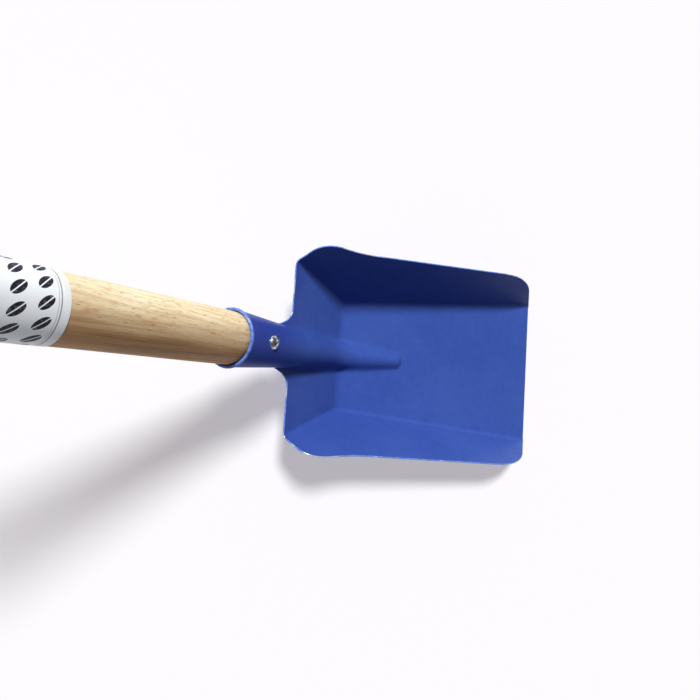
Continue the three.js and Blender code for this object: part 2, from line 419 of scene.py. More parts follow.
def inner_points():
    """Points inside the blank: columns follow the side creases, rows crowd at the rear crease."""
    rows = np.concatenate(
        [
            np.arange(-157.4, -52, 1.4),
            np.arange(-52, -5, 0.9),
            np.arange(-5, 5, 0.45),
            np.arange(5, 50, 1.0),
            np.arange(50, MOUTH_STATION - 3, 0.8),
            np.arange(MOUTH_STATION - 3, MOUTH_STATION - 0.4, 0.4),
        ]
    )
    points = []
    for g in rows:
        if g > BACK_REACH:
            half = np.arange(0.0, 46.0, 0.8)
        else:
            crease = length_at_height(g, 0.3)
            inner = np.linspace(0, crease - 3.0, 52)
            bend = np.arange(crease - 2.6, crease + 3.0, 0.45)
            wall = np.arange(crease + 3.6, crease + 60.0, 1.3)
            half = np.concatenate([inner, bend, wall])
        points += [(g, b) for b in half] + [(g, -b) for b in half[1:]]
    return np.array(points)


def loop_distance(points, loop):
    """Distance of 2-D points from a closed loop, and whether they lie inside it."""
    best = np.full(len(points), 1e9)
    inside = np.zeros(len(points), bool)
    for a, b in zip(loop, np.roll(loop, -1, axis=0)):
        d = b - a
        t = np.clip(((points - a) @ d) / max(d @ d, 1e-12), 0, 1)
        best = np.minimum(best, np.linalg.norm(points - (a + t[:, None] * d), axis=1))
        crosses = (a[1] > points[:, 1]) != (b[1] > points[:, 1])
        if a[1] != b[1]:
            at = a[0] + (points[:, 1] - a[1]) * d[0] / d[1]
            inside ^= crosses & (points[:, 0] < at)
    return best, inside


def on_middle_surface(flat):
    """Lifts (station, length) points to the sheet's middle surface; gives points and normals."""
    g = np.clip(flat[:, 0], STATIONS[0], STATIONS[-1])
    b = np.abs(flat[:, 1])
    i = np.clip(np.searchsorted(STATIONS, g) - 1, 0, len(STATIONS) - 2)
    share = (g - STATIONS[i]) / (STATIONS[i + 1] - STATIONS[i])
    j = np.clip((b / STEP).astype(int), 0, len(LENGTHS) - 2)
    part = b / STEP - j

    def read(table):
        low = table[i, j] * (1 - part) + table[i, j + 1] * part
        high = table[i + 1, j] * (1 - part) + table[i + 1, j + 1] * part
        return low * (1 - share) + high * share

    y = read(SECTION_Y) * np.sign(flat[:, 1] + 1e-12)
    h = read(SECTION_H)
    foot, up = station_frame(g)
    p = np.stack([foot[:, 0] + h * up[:, 0], y, foot[:, 1] + h * up[:, 1]], -1)
    for _ in range(3):
        slope = gradient(p[:, 0], p[:, 1], p[:, 2], g)
        off = depth(p[:, 0], p[:, 1], p[:, 2], g) - SHEET / 2
        p = p - (off / np.maximum(np.sum(slope**2, -1), 1e-6))[:, None] * slope
    slope = gradient(p[:, 0], p[:, 1], p[:, 2], g)
    return p, -slope / np.linalg.norm(slope, axis=-1, keepdims=True)


EDGE_STEPS = 6


def blade_mesh():
    loop = blank_outline()
    grid = inner_points()
    gap, inside = loop_distance(grid, loop)
    grid = grid[inside & (gap > 0.7)]
    flat = np.concatenate([loop, grid])
    ring = list(range(len(loop)))
    result = delaunay_2d_cdt([Vector(p) for p in flat], [], [ring], 1, 1e-5)
    flat = np.array([tuple(v) for v in result[0]])
    triangles = np.array([tuple(f) for f in result[2]])
    source = {k: n for n, ks in enumerate(result[3]) for k in ks}
    ring = [source[k] for k in ring]
    middle, normal = on_middle_surface(flat)
    a, b, c = (middle[triangles[:, k]] for k in range(3))
    facing = np.sum(np.cross(b - a, c - a) * normal[triangles[:, 0]], -1)
    triangles = np.where(facing[:, None] < 0, triangles[:, ::-1], triangles)

    half = SHEET / 2 + LIP_GAIN * smooth_step((flat[:, 0] - MOUTH_STATION + LIP_WIDTH) / LIP_WIDTH)
    edge = middle[ring]
    along = np.roll(edge, -1, axis=0) - np.roll(edge, 1, axis=0)
    along /= np.linalg.norm(along, axis=1, keepdims=True)
    outward = np.cross(along, normal[ring])
    probe = np.argmin(flat[ring][:, 0])
    if outward[probe][0] < 0:
        outward = -outward
    middle[ring] = edge - outward * half[ring][:, None]

    count = len(middle)
    upper = middle + normal * half[:, None]
    lower = middle - normal * half[:, None]
    points = [upper, lower]
    normals = [normal, -normal]
    rim = [np.zeros(count), np.zeros(count)]
    # Along the socket's lip the rim value rises on the outer skin; the enamel turns it into a lighter
    # band that is partly painted highlight.
    rim[0] = 0.8 * smooth_step((flat[:, 0] - MOUTH_STATION + LIP_WIDTH) / 0.8)
    faces = [tuple(t) for t in triangles] + [tuple(count + t[::-1]) for t in triangles]
    rows = [np.array(ring)]
    for step in range(1, EDGE_STEPS):
        turn = math.pi * step / EDGE_STEPS
        direction = math.cos(turn) * normal[ring] + math.sin(turn) * outward
        rows.append(np.arange(len(ring)) + sum(len(p) for p in points))
        points.append(middle[ring] + direction * half[ring][:, None])
        normals.append(direction)
        rim.append(np.ones(len(ring)))
    rows.append(np.array(ring) + count)
    forward = np.sum(np.cross(outward[0], along[0]) * normal[ring[0]]) < 0
    for near, far in zip(rows[:-1], rows[1:]):
        for k in range(len(ring)):
            n = (k + 1) % len(ring)
            quad = (near[k], near[n], far[n], far[k])
            faces.append(tuple(int(v) for v in (quad if forward else quad[::-1])))
    return np.concatenate(points), np.concatenate(normals), np.concatenate(rim), faces


def new_mesh(name, points, faces, normals=None):
    mesh = bpy.data.meshes.new(name)
    mesh.from_pydata([tuple(p) for p in points], [], [tuple(int(v) for v in f) for f in faces])
    mesh.validate()
    for polygon in mesh.polygons:
        polygon.use_smooth = True
    if normals is not None:
        mesh.normals_split_custom_set_from_vertices([tuple(n) for n in normals])
    piece = bpy.data.objects.new(name, mesh)
    bpy.context.scene.collection.objects.link(piece)
    return piece


def make_blade():
    points, normals, rim, faces = blade_mesh()
    piece = new_mesh("pressed_blade", placed(points), faces, normals)
    attribute = piece.data.attributes.new("rim", "FLOAT", "POINT")
    attribute.data.foreach_set("value", rim.astype(np.float32))
    return piece


# -------------------------------- turned pieces on the handle's axis
AXIS_BASIS = np.array(
    [
        [AXIS_NORMAL[0], 0.0, AXIS_NORMAL[1]],
        [0.0, -1.0, 0.0],
        [AXIS_OUT[0], 0.0, AXIS_OUT[1]],
    ]
)


def axis_matrix():
    """Placement whose Z runs out of the socket along the handle and whose X faces up, in metres."""
    matrix = Matrix([list(row) + [0.0] for row in AXIS_BASIS.T] + [[0.0, 0.0, 0.0, 1.0]])
    matrix.translation = Vector(placed([MOUTH[0], 0.0, MOUTH[1]]))
    return matrix


def turned(name, profile, matrix, sides=128, radius_at=None):
    """A turned piece from (radius, station) points in mm that start and end on its axis.

    radius_at(radius, station, angle) may change a point's radius, as a thread does.
    """
    points = []
    faces = []
    rings = []
    for radius, station in profile:
        if radius < 1e-6:
            rings.append([len(points)])
            points.append((0.0, 0.0, station))
            continue
        rings.append(list(range(len(points), len(points) + sides)))
        for k in range(sides):
            angle = 2 * math.pi * k / sides
            reach = radius_at(radius, station, angle) if radius_at else radius
            points.append((reach * math.cos(angle), reach * math.sin(angle), station))
    for near, far in zip(rings[:-1], rings[1:]):
        for k in range(sides):
            n = (k + 1) % sides
            quad = [near[k % len(near)], near[n % len(near)], far[n % len(far)], far[k % len(far)]]
            unique = list(dict.fromkeys(quad))
            if len(unique) > 2:
                faces.append(unique)
    piece = new_mesh(name, np.array(points) * MM, faces)
    piece.matrix_world = matrix
    return piece


def cut_away(piece, cutter):
    """Takes the cutter's volume out of a piece, and throws the cutter away."""
    modifier = piece.modifiers.new("cut", "BOOLEAN")
    modifier.operation = "DIFFERENCE"
    modifier.solver = "EXACT"
    modifier.object = cutter
    bpy.context.view_layer.update()
    evaluated = piece.evaluated_get(bpy.context.evaluated_depsgraph_get())
    mesh = bpy.data.meshes.new_from_object(evaluated)
    piece.modifiers.clear()
    piece.data = mesh
    bpy.data.objects.remove(cutter)


def keep_sharp(piece, degrees):
    """Smooth shading, apart from the edges that are sharper than an angle."""
    for polygon in piece.data.polygons:
        polygon.use_smooth = True
    piece.data.set_sharp_from_angle(angle=math.radians(degrees))


def arc_points(centre, radius, start, end, count):
    """(radius, station) points of an arc in a turned profile, with angles in degrees."""
    angles = np.radians(np.linspace(start, end, count + 1))
    return [(centre[0] + radius * math.cos(a), centre[1] + radius * math.sin(a)) for a in angles]


GRIP_LENGTH = 200.0
TENON_LENGTH = 38.0
SHOULDER_RADIUS = 12.8
GRIP_RADIUS = 12.4
GRIP_TAPER = 90.0
END_DOME = 7.0
TIP_ROUND = 1.5
TIP_FLAT = 2.0  # the flat end of the tenon stops this far inside its rim


def grip_radius(station):
    return SHOULDER_RADIUS + (GRIP_RADIUS - SHOULDER_RADIUS) * smooth_step(station / GRIP_TAPER)


def make_handle():
    tip = SHOULDER_RADIUS - CONE_TAPER * TENON_LENGTH
    profile = [(0.0, -TENON_LENGTH), (tip - TIP_FLAT, -TENON_LENGTH)]
    rounding = (tip - TIP_ROUND, TIP_ROUND - TENON_LENGTH)
    profile += arc_points(rounding, TIP_ROUND, -80, 0, 6)
    for station in np.linspace(2 * TIP_ROUND - TENON_LENGTH, 0, 20):
        profile.append((SHOULDER_RADIUS + CONE_TAPER * station, station))
    for station in np.linspace(2, GRIP_LENGTH - END_DOME, 90):
        profile.append((float(grip_radius(station)), station))
    for angle in np.linspace(0, math.pi / 2, 16)[1:-1]:
        station = GRIP_LENGTH - END_DOME * (1 - math.sin(angle))
        profile.append((GRIP_RADIUS * math.cos(angle), station))
    profile.append((0.0, GRIP_LENGTH))
    return turned("turned_handle", profile, axis_matrix())


# -------------------------------- screw through the socket
SCREW_STATION = 19.0
HEAD_RADIUS = 3.4
HEAD_HEIGHT = 1.9
HEAD_EDGE = 0.35
SHANK_RADIUS = 1.6
SHANK_LENGTH = 14.0
POINT_LENGTH = 3.0
THREAD_START = -3.2
THREAD_PITCH = 1.3
THREAD_HEIGHT = 0.28
THREAD_HALF = 0.22  # half of the ridge's width at its root, as a share of the pitch
THREAD_FADE_IN = 1.0
THREAD_FADE_OUT = 1.2
SHANK_TOP = -0.6
SHANK_STEP = 0.12
SHARP_ANGLE = 40
SLOT_WIDTH = 0.9
SLOT_DEPTH = 0.85
SLOT_TURN = math.radians(40)
SEAT_RADIUS = MOUTH_RADIUS - CONE_TAPER * SCREW_STATION
SCREW_SEAT = MOUTH - AXIS_OUT * SCREW_STATION + AXIS_NORMAL * SEAT_RADIUS


def screw_matrix():
    """Placement whose Z is the screw's axis, out of the socket, and whose X runs to the blade."""
    to_blade = [-AXIS_OUT[0], 0.0, -AXIS_OUT[1]]
    out_of_socket = [AXIS_NORMAL[0], 0.0, AXIS_NORMAL[1]]
    columns = np.array([to_blade, [0.0, 1.0, 0.0], out_of_socket])
    matrix = Matrix([list(row) + [0.0] for row in columns.T] + [[0.0, 0.0, 0.0, 1.0]])
    matrix.translation = Vector(placed([SCREW_SEAT[0], 0.0, SCREW_SEAT[1]]))
    return matrix


def thread_radius(radius, station, angle):
    """A wood screw's thread: a sharp helical ridge that dies out at both ends."""
    if station > THREAD_START:
        return radius
    turn = (station / THREAD_PITCH - angle / (2 * math.pi)) % 1.0
    ridge = max(0.0, 1.0 - abs(turn - 0.5) / THREAD_HALF)
    fade_in = min(1.0, (THREAD_START - station) / THREAD_FADE_IN)
    fade_out = min(1.0, (station + SHANK_LENGTH) / THREAD_FADE_OUT)
    return radius + THREAD_HEIGHT * ridge * (fade_in * fade_out)


def head_profile():
    """Dome, rolled edge and flat seat of the screw's head, as (radius, station) points."""
    flank = HEAD_RADIUS - HEAD_EDGE
    rise = HEAD_HEIGHT - 2 * HEAD_EDGE
    sphere = (flank**2 + rise**2) / (2 * rise)
    swing = math.asin(flank / sphere)
    centre = HEAD_HEIGHT - sphere
    profile = [(0.0, HEAD_HEIGHT)]
    for angle in np.linspace(0.0, swing, 22)[1:]:
        profile.append((sphere * math.sin(angle), centre + sphere * math.cos(angle)))
    profile += arc_points((flank, HEAD_EDGE), HEAD_EDGE, 70, -90, 10)
    return profile


def make_screw():
    profile = head_profile()
    root = SHANK_RADIUS + HEAD_EDGE
    profile += [(root, 0.0)] + arc_points((root, -HEAD_EDGE), HEAD_EDGE, 90, 180, 5)[1:]
    cylinder_end = POINT_LENGTH - SHANK_LENGTH
    stations = np.arange(SHANK_TOP, cylinder_end, -SHANK_STEP)
    profile += [(SHANK_RADIUS, station) for station in stations]
    for share in np.linspace(0.0, 1.0, 22)[:-1]:
        radius = SHANK_RADIUS * math.sqrt(1.0 - share)
        profile.append((radius, cylinder_end - POINT_LENGTH * share))
    profile.append((0.0, -SHANK_LENGTH))
    piece = turned("socket_wood_screw", profile[::-1], screw_matrix(), 72, thread_radius)
    slot = new_mesh("slot_cutter", slot_corners() * MM, BOX_FACES)
    slot.matrix_world = screw_matrix() @ Matrix.Rotation(SLOT_TURN, 4, "Z")
    cut_away(piece, slot)
    keep_sharp(piece, SHARP_ANGLE)
    return piece


BOX_FACES = [(0, 2, 3, 1), (4, 5, 7, 6), (0, 1, 5, 4), (2, 6, 7, 3), (0, 4, 6, 2), (1, 3, 7, 5)]


def slot_corners():
    reach = 2 * HEAD_RADIUS
    floor = HEAD_HEIGHT - SLOT_DEPTH
    half = SLOT_WIDTH / 2
    levels = (floor, floor + reach)
    corners = [(x, y, z) for z in levels for y in (-half, half) for x in (-reach, reach)]
    return np.array(corners)


# -------------------------------- paper label round the handle
LABEL_START = 82.5
LABEL_LENGTH = 45.0
PAPER = 0.12
LABEL_LAP = math.radians(28)
LABEL_SEAM = math.radians(205)
LIFT_START = math.radians(342)
LIFT_RUN = math.radians(14)
CORNER_PEEL = 0.45
PEEL_RUN = 0.14
PEEL_START = 0.8
GLUE = 0.05
LAP_GLUE = 0.03
RIPPLE = 0.035


def label_point(turn, along):
    """A point of the paper's middle surface. The far end laps over the near one."""
    station = LABEL_START + LABEL_LENGTH * along
    lap = smooth_step((turn - LIFT_START) / LIFT_RUN) * (PAPER + LAP_GLUE)
    ripple = RIPPLE * math.sin(3 * turn + 7 * along) * math.sin(math.pi * along)
    ending = smooth_step((turn - 2 * math.pi - LABEL_LAP + PEEL_RUN) / PEEL_RUN)
    corner = smooth_step((along - PEEL_START) / (1.0 - PEEL_START))
    radius = grip_radius(station) + PAPER / 2 + GLUE + lap + ripple + CORNER_PEEL * ending * corner
    angle = LABEL_SEAM + turn
    out = (math.cos(angle), math.sin(angle), 0.0)
    return (radius * out[0], radius * out[1], station), out


def make_label():
    turns = np.linspace(0.0, 2 * math.pi + LABEL_LAP, 190)
    rows = np.linspace(0.0, 1.0, 40)
    made = [[label_point(turn, along) for turn in turns] for along in rows]
    middle = np.array([[p for p, _ in row] for row in made])
    out = np.array([[n for _, n in row] for row in made])
    piece = closed_sheet("handle_paper_label", middle, out, PAPER)
    piece.matrix_world = axis_matrix()
    keep_sharp(piece, 50)
    return piece


def closed_sheet(name, middle, out, thickness):
    """A sheet with two skins and four edges, from a grid of points and normals in mm."""
    rows, columns = middle.shape[:2]
    upper = (middle + out * thickness / 2).reshape(-1, 3)
    lower = (middle - out * thickness / 2).reshape(-1, 3)
    count = rows * columns
    faces = []
    for r in range(rows - 1):
        for c in range(columns - 1):
            k = r * columns + c
            quad = (k, k + 1, k + columns + 1, k + columns)
            faces.append(quad)
            faces.append(tuple(count + v for v in reversed(quad)))
    border = [c for c in range(columns)]
    border += [r * columns + columns - 1 for r in range(1, rows)]
    border += [(rows - 1) * columns + c for c in range(columns - 2, -1, -1)]
    border += [r * columns for r in range(rows - 2, 0, -1)]
    for here, after in zip(border, border[1:] + border[:1]):
        faces.append((here, count + here, count + after, after))
    return new_mesh(name, np.concatenate([upper, lower]) * MM, faces)


# -------------------------------- material helpers
def new_material(name):
    """A material with one Principled shader; gives the material, its tree and the shader."""
    material = bpy.data.materials.new(name)
    material.use_nodes = True
    tree = material.node_tree
    return material, tree, tree.nodes["Principled BSDF"]


def wire(tree, kind, inputs, output=0, **settings):
    """Adds a node. Each input is a number, a tuple or another node's output."""
    node = tree.nodes.new(kind)
    for key, value in settings.items():
        setattr(node, key, value)
    for key, value in inputs.items():
        if isinstance(value, bpy.types.NodeSocket):
            tree.links.new(value, node.inputs[key])
        else:
            node.inputs[key].default_value = value
    return node.outputs[output]


def object_place(tree):
    return wire(tree, "ShaderNodeTexCoord", {}, "Object")


def stretched(tree, vector, scale):
    return wire(tree, "ShaderNodeVectorMath", {0: vector, 1: scale}, operation="MULTIPLY")


def noise(tree, vector, scale, detail=2.0, roughness=0.5):
    inputs = {"Vector": vector, "Scale": scale, "Detail": detail, "Roughness": roughness}
    return wire(tree, "ShaderNodeTexNoise", inputs, "Fac")


def math_node(tree, operation, a, b=0.0):
    return wire(tree, "ShaderNodeMath", {0: a, 1: b}, operation=operation)


def times(tree, a, b):
    return math_node(tree, "MULTIPLY", a, b)


def plus(tree, a, b):
    return math_node(tree, "ADD", a, b)


def minus(tree, a, b):
    return math_node(tree, "SUBTRACT", a, b)


def axes(tree, vector):
    """The X, Y and Z outputs of a vector."""
    node = tree.nodes.new("ShaderNodeSeparateXYZ")
    tree.links.new(vector, node.inputs[0])
    return node.outputs


def remap(tree, value, low, high, to_low=0.0, to_high=1.0):
    """Smoothly maps low..high to to_low..to_high, and holds the ends."""
    inputs = {"Value": value, "From Min": low, "From Max": high, "To Min": to_low, "To Max": to_high}
    return wire(tree, "ShaderNodeMapRange", inputs, interpolation_type="SMOOTHSTEP")


def blend(tree, share, first, second):
    """Mixes two colours."""
    inputs = {0: share, 6: first, 7: second}
    return wire(tree, "ShaderNodeMix", inputs, 2, data_type="RGBA", clamp_factor=True)


def distance(tree, a, b):
    return wire(tree, "ShaderNodeVectorMath", {0: a, 1: b}, "Value", operation="DISTANCE")


def length(tree, vector):
    return wire(tree, "ShaderNodeVectorMath", {0: vector}, "Value", operation="LENGTH")


def larger(tree, a, b):
    return math_node(tree, "MAXIMUM", a, b)


def bumped(tree, height, depth_mm, below=None):
    """A normal from a 0..1 height that stands for a depth in mm, over an earlier normal."""
    inputs = {"Height": height, "Distance": depth_mm * MM, "Strength": 1.0}
    if below is not None:
        inputs["Normal"] = below
    return wire(tree, "ShaderNodeBump", inputs)


def colour(red, green, blue):
    return (red, green, blue, 1.0)


# -------------------------------- blue enamel on the pressed sheet
PAINT_DEEP = colour(0.051, 0.101, 0.368)
PAINT_PALE = colour(0.065, 0.122, 0.400)
# The deeper navy on the next line is painted shade on the socket.
PAINT_SOCKET_SHADE = colour(0.022, 0.034, 0.26)
PAINT_RUBBED = colour(0.11, 0.18, 0.50)
# Lighter blue for the rounded edges: partly thinned paint, partly painted highlight.
PAINT_THIN_AND_HIGHLIGHT = colour(0.20, 0.33, 0.76)
PAINT_GLOSS_TINT = colour(0.30, 0.45, 1.0)
# Light worn-metal colour for chips and scuffs; on the edges it also serves as painted glints.
BARE_METAL_AND_GLINT = colour(0.64, 0.68, 0.76)
SOCKET_SHADE_FROM = -28.0  # painted shade: the paint darkens along X from here up to the socket
SOCKET_SHADE_TO = -62.0
GLINT_CHIPS_FROM = 30.0  # the rear edges get more chips from here back; these chips also stand in for painted glints
GLINT_CHIPS_TO = 0.0
SCUFF_INNER = 3.4  # rubbed ring round the screw's head
SCUFF_OUTER = 4.6
NICK_INNER = 0.2
NICK_OUTER = 1.0
NICK_REACH = 4.3
NICK_SIDE = 0.5
WAVE_DEPTH = 0.10
PEEL_DEPTH = 0.006
GROOVE_DEPTH = 0.003
CHIP_DEPTH = 0.05


def row_x(x):
    """An X of the crease frame, in mm, as an X of the row frame, in metres."""
    return placed([x, 0.0, 0.0])[0]


def enamel():
    """Satin blue paint with rub marks and worn spots at the screw; lighter rounded edges, partly
    thinned paint and partly painted highlight; chipped edges whose light metal also stands in for
    painted glints; and painted shade that darkens the paint towards the socket.
    """
    material, tree, shader = new_material("blue_enamel")
    place = object_place(tree)
    broad = noise(tree, place, 16.0, 3.0)
    mottled = noise(tree, place, 210.0, 3.0, 0.6)
    tone = plus(tree, times(tree, broad, 0.65), times(tree, mottled, 0.35))
    paint = blend(tree, remap(tree, tone, 0.3, 0.7), PAINT_DEEP, PAINT_PALE)

    split = axes(tree, place)
    # Painted shade: the paint darkens towards the socket.
    socket = remap(tree, split["X"], row_x(SOCKET_SHADE_FROM), row_x(SOCKET_SHADE_TO))
    paint = blend(tree, times(tree, socket, 0.55), paint, PAINT_SOCKET_SHADE)

    rubs = noise(tree, stretched(tree, place, (14.0, 620.0, 620.0)), 1.0, 2.0)
    patches = noise(tree, place, 45.0, 2.0)
    rubbed = times(tree, remap(tree, rubs, 0.62, 0.72), remap(tree, patches, 0.5, 0.7))
    paint = blend(tree, times(tree, rubbed, 0.16), paint, PAINT_RUBBED)

    rim = wire(tree, "ShaderNodeAttribute", {}, "Fac", attribute_name="rim")
    ragged = noise(tree, place, 420.0, 3.0, 0.65)
    # Rim colour: partly thinned paint, partly a painted highlight on the rounded edges.
    thin_paint_and_highlight = times(tree, rim, remap(tree, ragged, 0.3, 0.6, 0.35, 0.95))
    paint = blend(tree, thin_paint_and_highlight, paint, PAINT_THIN_AND_HIGHLIGHT)

    seat = tuple(placed([SCREW_SEAT[0], 0.0, SCREW_SEAT[1]]))
    from_screw = distance(tree, place, seat)
    from_nick = distance(tree, place, nick_place())
    near_screw = remap(tree, from_screw, SCUFF_INNER * MM, SCUFF_OUTER * MM, 1.0, 0.0)
    scuff = times(tree, near_screw, ragged)
    near_nick = remap(tree, from_nick, NICK_INNER * MM, NICK_OUTER * MM, 1.0, 0.0)
    nicked = plus(tree, near_nick, times(tree, ragged, 0.4))
    # Edge chips, boosted towards the rear, are partly wear and partly painted glints.
    rear = remap(tree, split["X"], row_x(GLINT_CHIPS_FROM), row_x(GLINT_CHIPS_TO), 0.0, 0.07)
    knocks_and_glints = plus(tree, noise(tree, place, 95.0, 3.0, 0.6), rear)
    chips_and_glints = times(tree, rim, knocks_and_glints)
    bare_and_glint = larger(tree, remap(tree, scuff, 0.44, 0.50), remap(tree, nicked, 0.75, 0.85))
    bare_and_glint = larger(tree, bare_and_glint, remap(tree, chips_and_glints, 0.61, 0.67))
    shown = blend(tree, bare_and_glint, paint, BARE_METAL_AND_GLINT)

    tree.links.new(shown, shader.inputs["Base Color"])
    tree.links.new(times(tree, bare_and_glint, 0.35), shader.inputs["Metallic"])
    satin = remap(tree, noise(tree, place, 70.0, 3.0), 0.3, 0.7, 0.34, 0.46)
    worn = plus(tree, satin, times(tree, rubbed, 0.12))
    worn = minus(tree, worn, times(tree, rim, 0.22))
    tree.links.new(worn, shader.inputs["Roughness"])
    shader.inputs["Specular IOR Level"].default_value = 0.16
    shader.inputs["Specular Tint"].default_value = PAINT_GLOSS_TINT
    shader.inputs["Coat Weight"].default_value = 0.03
    shader.inputs["Coat Roughness"].default_value = 0.10

    waves = bumped(tree, noise(tree, place, 34.0, 1.0), WAVE_DEPTH)
    peel = bumped(tree, noise(tree, place, 850.0, 1.0), PEEL_DEPTH, waves)
    grooves = bumped(tree, minus(tree, 1.0, rubbed), GROOVE_DEPTH, peel)
    chips = bumped(tree, minus(tree, 1.0, bare_and_glint), CHIP_DEPTH, grooves)
    tree.links.new(chips, shader.inputs["Normal"])
    return material


def nick_place():
    """Where the paint is nicked beside the screw's head, on the side of the handle."""
    spot = SCREW_SEAT + AXIS_OUT * NICK_REACH
    return tuple(placed([spot[0], NICK_SIDE, spot[1]]))


# -------------------------------- beech of the handle
PITH = (0.052, 0.021, 0.0)
PITH_LEAN = 0.09
RINGS_PER_METRE = 380.0
RING_WANDER = 3.5
SAPWOOD = colour(0.88, 0.815, 0.60)
SAPWOOD_WARM = colour(0.79, 0.65, 0.42)
# The two heartwood colours below also serve as painted shade on the handle's side away from the key
# light.
HEARTWOOD_AND_SHADE = colour(0.40, 0.20, 0.065)
HEART_STREAK_AND_SHADE = colour(0.25, 0.12, 0.045)
LATE_WOOD = colour(0.52, 0.335, 0.165)
STREAK_WOOD = colour(0.52, 0.325, 0.165)
FIBRE_WOOD = colour(0.47, 0.31, 0.16)
MOTTLE_WOOD = colour(0.50, 0.31, 0.14)
SPOT_RED = colour(0.48, 0.20, 0.09)
FLECK_RED = colour(0.36, 0.145, 0.065)
PORE_DEPTH = 0.025
FLECK_DEPTH = 0.02
TURNING_DEPTH = 0.012


def along_grain(tree, place, share, scale, detail=2.0, roughness=0.5):
    """Noise drawn out along the handle: its length there is 1 / share of its width."""
    return noise(tree, stretched(tree, place, (1.0, 1.0, share)), scale, detail, roughness)


def beech():
    """Solid grain: growth rings round a pith outside the stick, fibres, short ray flecks, and a
    darker heartwood side that also serves as painted shade on the side away from the key light.
    """
    material, tree, shader = new_material("turned_beech")
    place = object_place(tree)
    split = axes(tree, place)
    lean = times(tree, split["Z"], PITH_LEAN)
    across = wire(tree, "ShaderNodeCombineXYZ", {0: plus(tree, split["X"], lean), 1: split["Y"]})
    from_pith = distance(tree, across, PITH)
    wander = along_grain(tree, place, 0.12, 60.0)
    bent = plus(tree, from_pith, times(tree, wander, RING_WANDER * MM))
    ring = math_node(tree, "FRACT", times(tree, bent, RINGS_PER_METRE))
    late = times(tree, remap(tree, ring, 0.45, 0.94), remap(tree, ring, 1.0, 0.95))

    fibre = along_grain(tree, place, 0.022, 2300.0, 2.0, 0.6)
    streak = along_grain(tree, place, 0.06, 330.0, 3.0, 0.6)
    blotch = along_grain(tree, place, 0.45, 55.0, 3.0)

    # The darker heartwood side is partly painted shade: it lies on the handle's side away from the
    # key light.
    side = plus(tree, times(tree, split["Y"], 70.0), times(tree, wander, 0.9))
    heart_and_shade = remap(tree, side, 0.05, 1.0)

    wood = blend(tree, remap(tree, blotch, 0.3, 0.72), SAPWOOD, SAPWOOD_WARM)
    wood = blend(tree, times(tree, heart_and_shade, 0.90), wood, HEARTWOOD_AND_SHADE)
    wood = blend(tree, times(tree, late, 0.24), wood, LATE_WOOD)
    wood = blend(tree, remap(tree, streak, 0.50, 0.78, 0.0, 0.50), wood, STREAK_WOOD)
    wood = blend(tree, remap(tree, fibre, 0.45, 0.75, 0.0, 0.28), wood, FIBRE_WOOD)

    mottle = along_grain(tree, place, 0.30, 1100.0, 3.0, 0.65)
    wood = blend(tree, remap(tree, mottle, 0.46, 0.70, 0.0, 0.34), wood, MOTTLE_WOOD)
    # Dark streaks on that side add to the painted shade.
    dark_streak_and_shade = times(tree, remap(tree, streak, 0.44, 0.62), heart_and_shade)
    wood = blend(tree, times(tree, dark_streak_and_shade, 0.55), wood, HEART_STREAK_AND_SHADE)

    flecked = fleck_mask(tree, place, 760.0, 0.22, 0.24, 0.60)
    spotted = fleck_mask(tree, place, 270.0, 0.40, 0.26, 0.50)
    wood = blend(tree, times(tree, spotted, 0.48), wood, SPOT_RED)
    wood = blend(tree, times(tree, flecked, 0.60), wood, FLECK_RED)
    tree.links.new(wood, shader.inputs["Base Color"])

    gloss = remap(tree, fibre, 0.3, 0.7, 0.42, 0.58)
    tree.links.new(gloss, shader.inputs["Roughness"])
    shader.inputs["Specular IOR Level"].default_value = 0.30

    pores = bumped(tree, fibre, PORE_DEPTH)
    dents = bumped(tree, minus(tree, 1.0, flecked), FLECK_DEPTH, pores)
    lathe_lines = noise(tree, stretched(tree, place, (0.15, 0.15, 1.0)), 420.0, 2.0)
    tree.links.new(bumped(tree, lathe_lines, TURNING_DEPTH, dents), shader.inputs["Normal"])
    return material


def fleck_mask(tree, place, scale, along, size, share):
    """Small spindle-shaped marks, one in some of the cells of a grid stretched along the grain."""
    cells = tree.nodes.new("ShaderNodeTexVoronoi")
    tree.links.new(stretched(tree, place, (1.0, 1.0, along)), cells.inputs["Vector"])
    cells.inputs["Scale"].default_value = scale
    picked = wire(tree, "ShaderNodeSeparateColor", {0: cells.outputs["Color"]})
    spot = remap(tree, cells.outputs["Distance"], size, size * 0.3)
    return times(tree, spot, remap(tree, picked, share - 0.02, share + 0.02, 1.0, 0.0))


# -------------------------------- bright steel of the screw
STEEL_BRIGHT = colour(0.95, 0.94, 0.92)
STEEL_DULL = colour(0.82, 0.83, 0.82)
SLOT_DIRT = colour(0.10, 0.095, 0.09)
DIRT_BELOW = HEAD_HEIGHT - 0.75 * SLOT_DEPTH
CLEAN_ABOVE = HEAD_HEIGHT - 0.2 * SLOT_DEPTH
LATHE_DEPTH = 0.006
DENT_DEPTH = 0.012


